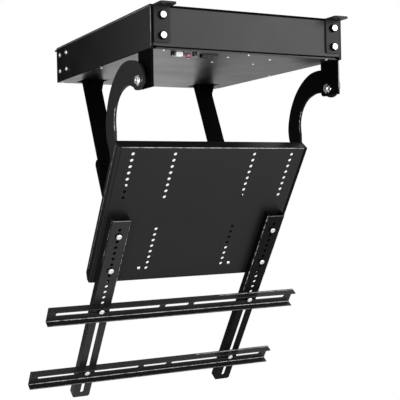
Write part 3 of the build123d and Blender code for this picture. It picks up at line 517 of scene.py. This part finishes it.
# Spots of each set, and the way its heads point
def makeBolts():
    at = boltPlaces
    bothSides = (-1, 1)
    legs = [(x, z) for x in (-at["legX"], at["legX"]) for z in at["legZ"]]
    sideSpots = [(side, y, z) for side in bothSides for y in at["sideY"] for z in at["legZ"]]
    pivotX, pivotY, pivotZ = at["pivot"]
    trayU, trayV = at["traySpot"]
    makeBoltSet("bracket_bolts_front", [((x, -at["legY"], z), (0, -1, 0)) for x, z in legs])
    makeBoltSet("bracket_bolts_rear", [((x, at["legY"], z), (0, 1, 0)) for x, z in legs])
    makeBoltSet("side_screws", [((side * at["sideX"], y, z), (side, 0, 0)) for side, y, z in sideSpots])
    makeBoltSet("cover_screws", [((x, y, at["coverZ"]), (0, 0, -1)) for x, y in at["coverSpots"]])
    makeBoltSet("pivot_bolts", [((side * pivotX, pivotY, pivotZ), (side, 0, 0)) for side in bothSides])
    for node, values, n in (("tv_bracket_bolts", at["tvV"], at["tvN"]), ("rail_bolts", at["railV"], at["railN"])):
        makeBoltSet(node, [(onTray(side * at["tvU"], v, n), trayOut) for side in bothSides for v in values])
    makeBoltSet("tray_screws", [(onTray(side * trayU, trayV, 0), trayOut) for side in bothSides])


makeBolts()
print("bolts made")


# A thin band carried along a path: each point of the path gets the band's outline, a row of
# (a, b) offsets along two given directions, so a point is path + a * first + b * second
def carriedBand(name, path, outline, first, second, finish, body):
    path = np.asarray(path, dtype=float)
    outline = np.asarray(outline, dtype=float)
    first = np.broadcast_to(np.asarray(first, dtype=float), path.shape)[:, None, :]
    second = np.broadcast_to(np.asarray(second, dtype=float), path.shape)[:, None, :]
    points = path[:, None, :] + outline[None, :, :1] * first + outline[None, :, 1:] * second
    faces = ringFaces(len(path), len(outline))
    piece = addMesh(name, (points * mm).reshape(-1, 3).tolist(), faces, finishes[finish])
    # the faces are turned outwards, whichever way the path and outline run
    recalculated = bmesh.new()
    recalculated.from_mesh(piece.data)
    bmesh.ops.recalc_face_normals(recalculated, faces=recalculated.faces)
    recalculated.to_mesh(piece.data)
    recalculated.free()
    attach(piece, body)


# Bands of painted highlight: how far each stands out of the surface, and how many points its straight path has
bandLook = {"proud": 0.12, "pathPoints": 12}


# A flat outline, half its width to each side, as far into the surface as out of it
def bandOutline(width):
    proud = bandLook["proud"]
    return [(-width / 2, -proud), (width / 2, -proud), (width / 2, proud), (-width / 2, proud)]


# A band along a straight line, its width along one direction and its height along the other
def straightBand(name, start, end, across, outwards, width, finish, body="tv_frame"):
    path = np.linspace(start, end, bandLook["pathPoints"])
    carriedBand(name, path, bandOutline(width), across, outwards, finish, body)


# The painted highlight line on the tray's top bend: half its length, the bend's radius, and how far round the bend it
# is
trayTopHighlight = {"half": 228.5, "bendRadius": 3.5, "roundDeg": 35, "width": 1.4}


# The line lies on the bend's cylinder, turned from the face towards the top by the given degrees
def paintTrayTopHighlight():
    look = trayTopHighlight
    turn = math.radians(look["roundDeg"])
    outwards = trayOut * math.cos(turn) - trayDown * math.sin(turn)
    across = trayDown * math.cos(turn) + trayOut * math.sin(turn)
    middle = onTray(0, look["bendRadius"], -look["bendRadius"]) + outwards * look["bendRadius"]
    reach = np.array([look["half"], 0, 0])
    straightBand("highlight_tray_top", middle - reach, middle + reach, across, outwards, look["width"], "painted bend highlight")


# The television brackets, which are channels, get painted highlight lines: a broken line down the left
# wall, so far back from the face, a fine one down the right edge of the face, and an even one across its top
bracketHighlight = {
    "places": {"left": -200, "right": 200}, "half": 22, "v": (177.4, 408), "n": 21,
    "bend": {"left": {"width": 0.9, "back": 5, "end": 293}, "right": {"width": 2.4, "back": 3, "end": 408}},
    "bendOut": 0.1, "edgeIn": 0.5, "edgeWidth": 0.4, "topDown": 0.3, "topIn": 1, "topWidth": 0.8,
}


def paintBracketHighlights():
    look = bracketHighlight
    top, foot = look["v"]
    n = look["n"]
    for word, middle in look["places"].items():
        bend = look["bend"][word]
        u = middle - look["half"] - look["bendOut"]
        start, end = (onTray(u, v, n - bend["back"]) for v in (top, bend["end"]))
        straightBand(f"highlight_bracket_{word}_bend", start, end, trayOut, (-1, 0, 0), bend["width"], "painted edge highlight")
        u = middle + look["half"] - look["edgeIn"]
        start, end = (onTray(u, v, n) for v in (top, foot))
        straightBand(f"highlight_bracket_{word}_edge", start, end, (1, 0, 0), trayOut, look["edgeWidth"], "painted edge highlight")
        reach = look["half"] - look["topIn"]
        start, end = (onTray(u, top + look["topDown"], n) for u in (middle - reach, middle + reach))
        straightBand(f"highlight_bracket_{word}_top", start, end, trayDown, trayOut, look["topWidth"], "painted bend highlight")


# The cross rails, channels that are open to the front, get painted highlight lines: along the front edge
# of the lower flange, in the bend behind it, and on the right part of the upper flange. Each rail has its v and its
# shift
railHighlight = {
    "places": {"upper": (432.5, -3), "lower": (627.5, -16)}, "half": 327, "height": 42, "sheet": 2.5,
    "n": (21, 39), "off": 0.5, "footWidth": 0.6, "insideWidth": 1.4,
    "top": {"from": 110, "n": 24.5, "up": 0.05, "width": 3.0},
}


def paintRailHighlights():
    look = railHighlight
    low, high = look["n"]
    off, top = look["off"], look["top"]
    outOfBend = (trayOut - trayDown) / math.sqrt(2)
    acrossBend = (trayOut + trayDown) / math.sqrt(2)
    for word, (v, shift) in look["places"].items():
        corner = v + look["height"] / 2 - look["sheet"]
        left, right = shift - look["half"], shift + look["half"]
        start, end = (onTray(u, corner + off, high) for u in (left, right))
        straightBand(f"highlight_rail_{word}_foot", start, end, trayDown, trayOut, look["footWidth"], "painted bend highlight")
        start, end = (onTray(u, corner - off, low + look["sheet"] + off) for u in (left, right))
        straightBand(
            f"highlight_rail_{word}_inside", start, end, acrossBend, outOfBend, look["insideWidth"], "painted bend highlight"
        )
        edge = v - look["height"] / 2 - top["up"]
        start, end = (onTray(u, edge, top["n"]) for u in (shift + top["from"], right))
        straightBand(f"highlight_rail_{word}_top", start, end, trayOut, -trayDown, top["width"], "painted bend highlight")


# The inside of the goosenecks' curve, at the left edge of each arm's sheet, gets a painted highlight
# line: three points of the arc, as y and z, and the share of it that is painted
armHighlight = {
    "places": {"left": -236.4, "right": 232.1}, "arc": ((-116, -236), (-128, -177), (-165, -153.5)),
    "share": 0.5, "arcPoints": 40, "width": 1.0,
}


# Points of an arc from start past middle to end in the Y-Z plane. With the three as complex numbers
# a, b and c, and w = (c - a) / (b - a), the centre is a + (b - a) (w - |w| squared) / (w - w's
# conjugate), and the angle round it goes evenly from a to c on the side of b
def arcPoints(start, middle, end, count):
    a, b, c = (complex(*point) for point in (start, middle, end))
    w = (c - a) / (b - a)
    centre = (b - a) * (w - abs(w) ** 2) / (w - w.conjugate()) + a
    fromAngle, pastAngle, toAngle = (np.angle(point - centre) for point in (a, b, c))
    sweep = (toAngle - fromAngle) % (2 * math.pi)
    if (pastAngle - fromAngle) % (2 * math.pi) > sweep:
        sweep -= 2 * math.pi
    spots = centre + abs(a - centre) * np.exp(1j * (fromAngle + sweep * np.linspace(0, 1, count)))
    return np.stack([spots.real, spots.imag], axis=1)


# Each band follows the arc at its x, and stands out along the arc's normal, a quarter turn from its run
def paintArmHighlights():
    look = armHighlight
    arc = arcPoints(*look["arc"], look["arcPoints"])[:int(look["arcPoints"] * look["share"])]
    run = np.gradient(arc, axis=0)
    normal = np.stack([-run[:, 1], run[:, 0]], axis=1)
    normal /= np.linalg.norm(normal, axis=1, keepdims=True)
    outwards = np.column_stack([np.zeros(len(arc)), normal])
    for word, x in look["places"].items():
        path = np.column_stack([np.full(len(arc), x), arc])
        carriedBand(
            f"highlight_arm_{word}", path, bandOutline(look["width"]), (1, 0, 0), outwards, "painted edge highlight", "tv_frame"
        )


# Painted highlight lines on the housing: the right pivot bracket's front edge, and the left side plate's front
# and top edges. Each is its start, its end, the way across, the way out and the width
housingHighlight = {
    "highlight_pivot_right": ((223.6, -285.5, -88), (223.6, -285.5, -152), (1, 0, 0), (0, -1, 0), 2.2),
    "highlight_corner": ((-226.9, -290.05, -3), (-226.9, -290.05, -83), (1, 0, 0), (0, -1, 0), 0.6),
    "highlight_side_top": ((-227.55, -284, -3.0), (-227.55, 284, -3.0), (0, 0, 1), (-1, 0, 0), 0.8),
}
traySideHighlight = {"u": -237.05, "v": (6, 335), "n": -17, "width": 0.8}


# A painted highlight line down the left arm, beside the tray
def paintTraySideHighlight():
    look = traySideHighlight
    start, end = (onTray(look["u"], v, look["n"]) for v in look["v"])
    straightBand("highlight_tray_side", start, end, trayOut, (-1, 0, 0), look["width"], "painted bend highlight")


paintTrayTopHighlight()
paintBracketHighlights()
paintRailHighlights()
paintArmHighlights()
for bandName, bandLine in housingHighlight.items():
    straightBand(bandName, *bandLine, "painted bend highlight", "housing")
paintTraySideHighlight()
print("painted highlight lines made")

# The part of the lower stays' web next to the knee: a plate between the side bars, on their front,
# between two distances from the clevis, whose pin is at this v and n of the tray
stayWeb = {
    "clevis": (276.7, -22), "lean": 62.149, "from": 112, "to": 199, "pathPoints": 9, "front": 11.5, "sheet": 3.0,
    "chamfer": 0.8, "inner": 128.7, "outer": 183.3,
}


# The plate's outline, with its two front corners cut, is carried up along the stay's lean
def makeStayWebs():
    look = stayWeb
    lean = math.radians(look["lean"])
    along = np.array([0, math.cos(lean), math.sin(lean)])
    forward = np.array([0, -math.sin(lean), math.cos(lean)])
    distance = np.linspace(look["from"], look["to"], look["pathPoints"])
    middle = (look["inner"] + look["outer"]) / 2
    half = (look["outer"] - look["inner"]) / 2
    front, back, cut = look["front"], look["front"] - look["sheet"], look["chamfer"]
    outline = [
        (-half, back), (half, back), (half, front - cut), (half - cut, front), (-half + cut, front),
        (-half, front - cut),
    ]
    for word, side in (("left", -1), ("right", 1)):
        path = onTray(side * middle, *look["clevis"]) + distance[:, None] * along
        carriedBand(f"lower_stay_web_{word}", path, outline, (1, 0, 0), forward, "shaded stay coat", f"lower_link_{word}")


# Dark strips of painted shade, in black foam: in the gap between the fascia and the cover's front lip,
# along the fascia's top edge, beside the left ceiling bracket and along the left side plate's upper and
# lower edges. Each is its start, its end, its two sizes and the directions that they lie along
shadeStrips = {
    "fascia_gap_shade": ((-213, -287, -82.1), (213, -287, -82.1), (1.8, 2.5), (0, 1, 0), (0, 0, 1)),
    "fascia_gap_end_shade": ((-226.5, -290.2, -82.4), (-216, -290.2, -82.4), (0.8, 4.2), (0, 1, 0), (0, 0, 1)),
    "fascia_top_shade": ((-185.5, -290.2, -2.6), (185.5, -290.2, -2.6), (0.8, 4.8), (0, 1, 0), (0, 0, 1)),
    "corner_gap_shade": ((-222.9, -290.2, -4.5), (-222.9, -290.2, -78), (3.2, 0.8), (1, 0, 0), (0, 1, 0)),
    "side_top_shade": ((-227.6, -286, -1.2), (-227.6, 286, -1.2), (0.5, 2.0), (1, 0, 0), (0, 0, 1)),
    "side_bottom_shade": ((-227.6, -286, -86.1), (-227.6, 286, -86.1), (0.5, 1.6), (1, 0, 0), (0, 0, 1)),
}
shadeStripShape = {"pathPoints": 40, "chamferShare": 0.2}


# A rectangle with its four corners cut, going round it
def chamferedOutline(wide, tall, cut):
    a, b = wide / 2, tall / 2
    return [
        (-a + cut, -b), (a - cut, -b), (a, -b + cut), (a, b - cut),
        (a - cut, b), (-a + cut, b), (-a, b - cut), (-a, -b + cut),
    ]


# Each strip is its chamfered rectangle carried straight from start to end
def makeShadeStrips():
    for name, (start, end, sizes, first, second) in shadeStrips.items():
        outline = chamferedOutline(*sizes, shadeStripShape["chamferShare"] * min(sizes))
        path = np.linspace(start, end, shadeStripShape["pathPoints"])
        carriedBand(name, path, outline, first, second, "black foam, painted shade", "housing")


# Small parts of the sockets under the cover: each block is its middle and its size. The power
# inlet's block is a black plate over the left half of its recess, painted shade
socketBlocks = {
    "signal_socket_clip_a": ((-167.2, -259.5, -90.5), (2.6, 9, 7.0)),
    "signal_socket_clip_b": ((-163.2, -259.5, -90.5), (2.6, 9, 7.0)),
    "signal_socket_clip_c": ((-141.8, -259.5, -90.5), (2.6, 9, 7.0)),
    "power_inlet_recess_shade": ((-88, -250, -89.9), (18, 12, 5.8)),
}
blockShape = {"chamfer": 0.8, "endRing": 1}
signalPins = {
    "place": (-151.5, -265.1), "spread": (-3.6, 0.0, 3.6), "heights": (-89.6, -92.6),
    "rows": [(0.9, 0, 0), (0.9, 0.3, 0), (0.63, 0.5, 0), (0.2, 0.5, 0)],
}
buttonRim = {
    "place": (-122, -242, -87), "rows": [(5.7, 0, 0), (5.7, 4.1, 0), (5.3, 4.5, 0), (4.8, 4.5, 0), (4.8, 0.2, 0)],
}


# Blocks are a chamfered outline carried down, with one more ring just above the end. The pins and the
# button's rim are turned from rows of radius and height
def makeSocketParts():
    for name, ((x, y, z), (wide, deep, tall)) in socketBlocks.items():
        outline = chamferedOutline(wide, deep, blockShape["chamfer"])
        low = z - tall / 2
        path = [(x, y, height) for height in (z + tall / 2, low + blockShape["endRing"], low)]
        carriedBand(name, path, outline, (1, 0, 0), (0, 1, 0), "gloss black", "housing")
    x, y = signalPins["place"]
    spots = [(x + step, y, z) for step in signalPins["spread"] for z in signalPins["heights"]]
    places = [(spot, (0, -1, 0), 0) for spot in spots]
    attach(turnedPiece("signal_socket_pins", [(signalPins["rows"], places)], "dull zinc"), "housing")
    places = [(buttonRim["place"], (0, 0, -1), 0)]
    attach(turnedPiece("pairing_button_rim", [(buttonRim["rows"], places)], "pink rim"), "housing")


makeStayWebs()
makeShadeStrips()
makeSocketParts()
print("stay webs, shade strips and socket parts made")

# Studio: a pale floor and backdrop that show white to the camera and in reflections, with soft
# lamps, and black and grey cards round the object that only reflections see
studio = {
    "floorZ": -2.1, "floorSize": 14.0, "floorColour": "#f4f4f4", "floorRoughness": 0.9,
    "worldColour": "#e6e6e6", "worldStrength": 0.35,
    # the black cards on the left stand at one x: each is its front and back y, and its low and high z
    "cardX": -2.4,
    "sideCards": {
        "Near": (-0.4, 2.4, -60.0, 90.0), "Far": (4.8, 90.0, -60.0, 90.0), "Low": (2.4, 4.8, -60.0, -0.35),
    },
    # the grey card behind on the right: its left and right x, its y, its low and high z, and its grey
    "backCard": (2.6, 12.0, 5.0, -2.05, 2.0), "greyCard": 0.55,
}
white = {"Color": (1.0, 1.0, 1.0, 1.0), "Strength": 1.0}


# One where the ray comes from the camera, from a gloss or through glass, and nought elsewhere
def seenDirectly(tree):
    path = addNode(tree, "ShaderNodeLightPath")
    seen = addNode(
        tree, "ShaderNodeMath", links={0: (path, "Is Camera Ray"), 1: (path, "Is Glossy Ray")},
        operation="ADD", use_clamp=True,
    )
    return addNode(
        tree, "ShaderNodeMath", links={0: (seen, "Value"), 1: (path, "Is Transmission Ray")},
        operation="ADD", use_clamp=True,
    )


# Light paper that takes shadows, and plain white where it is seen directly
def paleFloor():
    half, z = studio["floorSize"] / 2, studio["floorZ"]
    material, tree = newMaterial("studio floor paper")
    paper = addNode(
        tree, "ShaderNodeBsdfDiffuse",
        {"Color": linearColour(studio["floorColour"]), "Roughness": studio["floorRoughness"]},
    )
    bright = addNode(tree, "ShaderNodeEmission", white)
    mixed = addNode(
        tree, "ShaderNodeMixShader",
        links={"Fac": (seenDirectly(tree), "Value"), 1: (paper, "BSDF"), 2: (bright, "Emission")},
    )
    addNode(tree, "ShaderNodeOutputMaterial", links={"Surface": (mixed, "Shader")})
    corners = [(-half, -half, z), (half, -half, z), (half, half, z), (-half, half, z)]
    addMesh("studioFloor", corners, [(0, 1, 2, 3)], material)


# A card that only reflections see, at a given brightness
def cardMaterial(name, brightness):
    material, tree = newMaterial(name)
    path = addNode(tree, "ShaderNodeLightPath")
    clear = addNode(tree, "ShaderNodeBsdfTransparent")
    card = addNode(tree, "ShaderNodeEmission", {**white, "Strength": brightness})
    mixed = addNode(
        tree, "ShaderNodeMixShader",
        links={"Fac": (path, "Is Glossy Ray"), 1: (clear, "BSDF"), 2: (card, "Emission")},
    )
    addNode(tree, "ShaderNodeOutputMaterial", links={"Surface": (mixed, "Shader")})
    return material


# Upright cards: black ones on the left, with a bright window between them, and a grey one on the right
def reflectionCards():
    black = cardMaterial("black card", 0.0)
    x = studio["cardX"]
    for name, (front, back, low, high) in studio["sideCards"].items():
        corners = [(x, front, low), (x, back, low), (x, back, high), (x, front, high)]
        addMesh("blackCard" + name, corners, [(0, 1, 2, 3)], black)
    left, right, y, low, high = studio["backCard"]
    corners = [(left, y, low), (right, y, low), (right, y, high), (left, y, high)]
    addMesh("greyCardBack", corners, [(0, 1, 2, 3)], cardMaterial("grey card", studio["greyCard"]))


# Soft pale light all round, and plain white where it is seen directly
def studioWorld():
    world = bpy.data.worlds.new("studioWorld")
    bpy.context.scene.world = world
    world.use_nodes = True
    tree = world.node_tree
    tree.nodes.clear()
    soft = addNode(
        tree, "ShaderNodeBackground",
        {"Color": linearColour(studio["worldColour"]), "Strength": studio["worldStrength"]},
    )
    bright = addNode(tree, "ShaderNodeBackground", white)
    mixed = addNode(
        tree, "ShaderNodeMixShader",
        links={"Fac": (seenDirectly(tree), "Value"), 1: (soft, "Background"), 2: (bright, "Background")},
    )
    addNode(tree, "ShaderNodeOutputWorld", links={"Surface": (mixed, "Shader")})


# Each lamp: place, what it looks at, size and power in watts
lamps = {
    "frontRight": {"place": (2.2, -2.8, 0.4), "target": (0, 0, -0.3), "size": 2.2, "power": 60},
    "nearLeft": {"place": (-1.25, -1.35, -0.3), "target": (-0.25, -0.2, -0.25), "size": 0.7, "power": 30},
    "below": {"place": (0.6, -1.6, -1.9), "target": (0, 0, -0.4), "size": 2.0, "power": 30},
}


def softLamp(name):
    look = lamps[name]
    data = bpy.data.lights.new(name, "AREA")
    data.shape = "SQUARE"
    data.size = look["size"]
    data.energy = look["power"]
    lamp = bpy.data.objects.new(name, data)
    lamp.location = look["place"]
    aim = Vector(look["target"]) - Vector(look["place"])
    lamp.rotation_euler = aim.to_track_quat("-Z", "Y").to_euler()
    bpy.context.scene.collection.objects.link(lamp)


# The camera at the photograph's viewing angle, fitted to the object
photoCamera = {
    "place": (-0.9475, -1.8962, -0.3678), "anglesDeg": (89.44, 1.10, -27.11), "lensMm": 80.918, "sensorMm": 36.0,
}


def addCamera():
    data = bpy.data.cameras.new("photoCamera")
    data.lens = photoCamera["lensMm"]
    data.sensor_width = photoCamera["sensorMm"]
    data.sensor_fit = "HORIZONTAL"
    camera = bpy.data.objects.new("photoCamera", data)
    camera.location = photoCamera["place"]
    camera.rotation_euler = Euler([math.radians(angle) for angle in photoCamera["anglesDeg"]], "XYZ")
    bpy.context.scene.collection.objects.link(camera)
    bpy.context.scene.camera = camera


paleFloor()
reflectionCards()
studioWorld()
for lampName in lamps:
    softLamp(lampName)
addCamera()
bpy.context.scene.view_settings.view_transform = "Standard"
print("studio ready")
